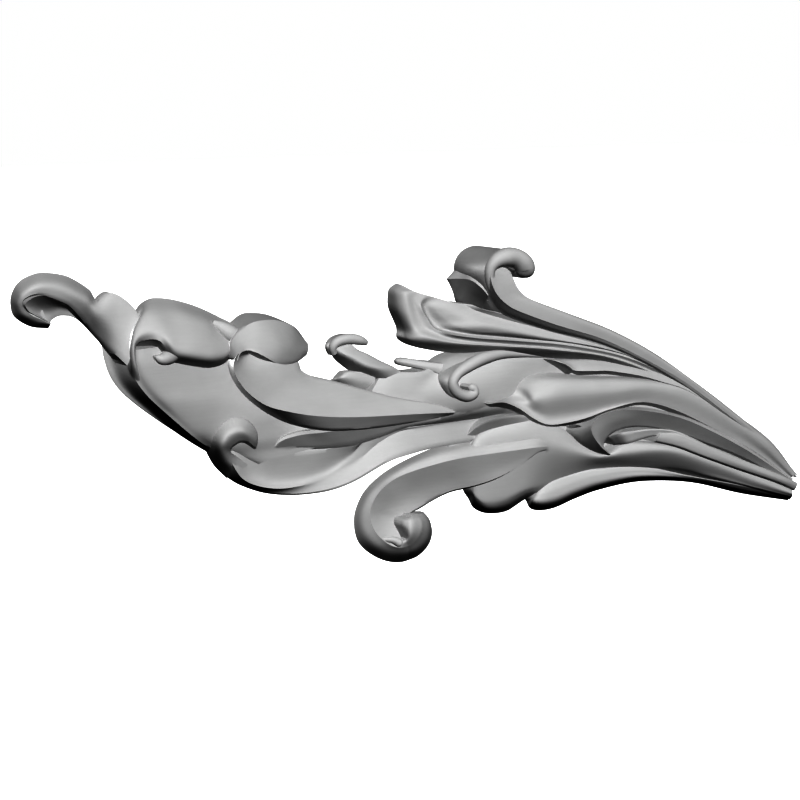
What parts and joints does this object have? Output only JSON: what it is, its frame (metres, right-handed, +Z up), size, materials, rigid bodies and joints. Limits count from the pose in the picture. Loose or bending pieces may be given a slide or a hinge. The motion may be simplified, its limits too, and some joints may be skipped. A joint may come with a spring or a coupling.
{
  "type": "carved onlay",
  "caption": "Carved acanthus spray with rolled scroll ends and a flat back, made to be fixed to a door, panel or piece of furniture.",
  "frame": {"origin": "on the flat back, behind the middle of the spray", "axes": "+X along the spray towards its cut stems, +Z up, carved face towards -Y, so +Y points into what it is fixed to"},
  "size_m": [0.405, 0.027, 0.1335],
  "materials": {
    "primed_wood": "carved hardwood under thin grey primer, matt to satin, with the wood's grain faint beneath it"
  },
  "bodies": {
    "root": {"carved_onlay": "primed_wood"}
  },
  "joints": []
}
